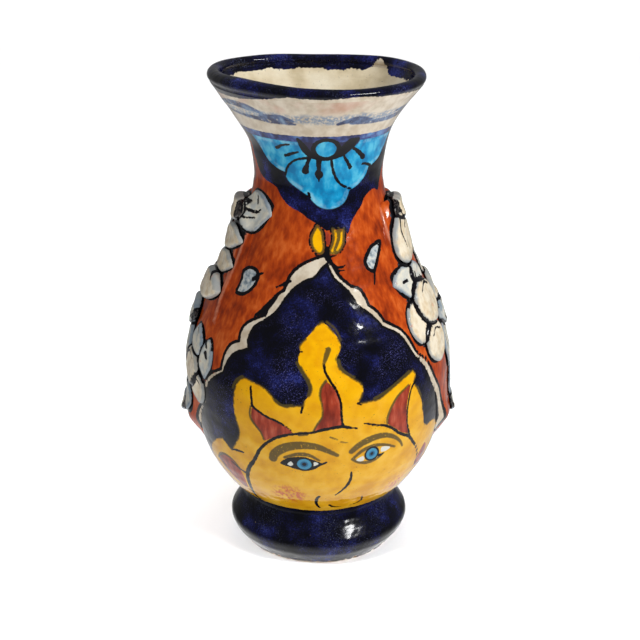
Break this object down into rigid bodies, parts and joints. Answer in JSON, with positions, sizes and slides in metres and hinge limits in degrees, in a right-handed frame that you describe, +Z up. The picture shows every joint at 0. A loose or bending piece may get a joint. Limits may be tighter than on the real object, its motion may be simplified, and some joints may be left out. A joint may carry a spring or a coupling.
{
  "type": "talavera pottery vase",
  "caption": "Baluster vase on a flared foot with a rolled, flaring mouth, sprays of clay leaves and petals in relief down both sides, and brush-painted glaze.",
  "frame": {"origin": "centre of the foot's resting face, where the vase stands", "axes": "+Z up along the vase's axis, -Y out of the painted front, +X through the right-hand relief"},
  "size_m": [0.1461, 0.1336, 0.25],
  "materials": {
    "cobalt_glaze": "gloss",
    "belly_glaze": "gloss",
    "neck_glaze": "gloss",
    "relief_glaze": "gloss",
    "petal_glaze": "gloss",
    "leaf_glaze": "gloss",
    "inner_glaze": "gloss"
  },
  "bodies": {
    "root": {"foot_ring": "cobalt_glaze", "floor_slab": "inner_glaze", "body_wall": "belly_glaze", "flared_neck": "neck_glaze", "rolled_lip": "cobalt_glaze", "left_relief_ground": "relief_glaze", "right_relief_ground": "relief_glaze", "left_top_knob": "petal_glaze", "left_crown_bud": "leaf_glaze", "left_tail_tip": "leaf_glaze", "left_front_top_leaf": "leaf_glaze", "left_front_upper_petal": "petal_glaze", "left_front_middle_petal": "petal_glaze", "left_front_round_petal": "petal_glaze", "left_front_long_leaf": "leaf_glaze", "left_front_side_leaf": "leaf_glaze", "left_front_diamond_leaf": "leaf_glaze", "left_front_oval_petal": "petal_glaze", "left_front_low_petal": "petal_glaze", "left_front_tail_leaf": "leaf_glaze", "left_back_long_petal": "petal_glaze", "left_back_pointed_leaf": "leaf_glaze", "left_back_bud": "leaf_glaze", "left_back_under_petal": "petal_glaze", "left_back_oval_petal": "petal_glaze", "left_back_low_petal": "petal_glaze", "left_back_strip_leaf": "leaf_glaze", "left_back_thin_leaf": "leaf_glaze", "right_top_knob": "petal_glaze", "right_crown_bud": "leaf_glaze", "right_tail_tip": "leaf_glaze", "right_front_long_petal": "petal_glaze", "right_front_pointed_leaf": "leaf_glaze", "right_front_bud": "leaf_glaze", "right_front_under_petal": "petal_glaze", "right_front_oval_petal": "petal_glaze", "right_front_low_petal": "petal_glaze", "right_front_strip_leaf": "leaf_glaze", "right_front_thin_leaf": "leaf_glaze", "right_back_top_leaf": "leaf_glaze", "right_back_upper_petal": "petal_glaze", "right_back_middle_petal": "petal_glaze", "right_back_round_petal": "petal_glaze", "right_back_long_leaf": "leaf_glaze", "right_back_side_leaf": "leaf_glaze", "right_back_diamond_leaf": "leaf_glaze", "right_back_oval_petal": "petal_glaze", "right_back_low_petal": "petal_glaze", "right_back_tail_leaf": "leaf_glaze"}
  },
  "joints": []
}
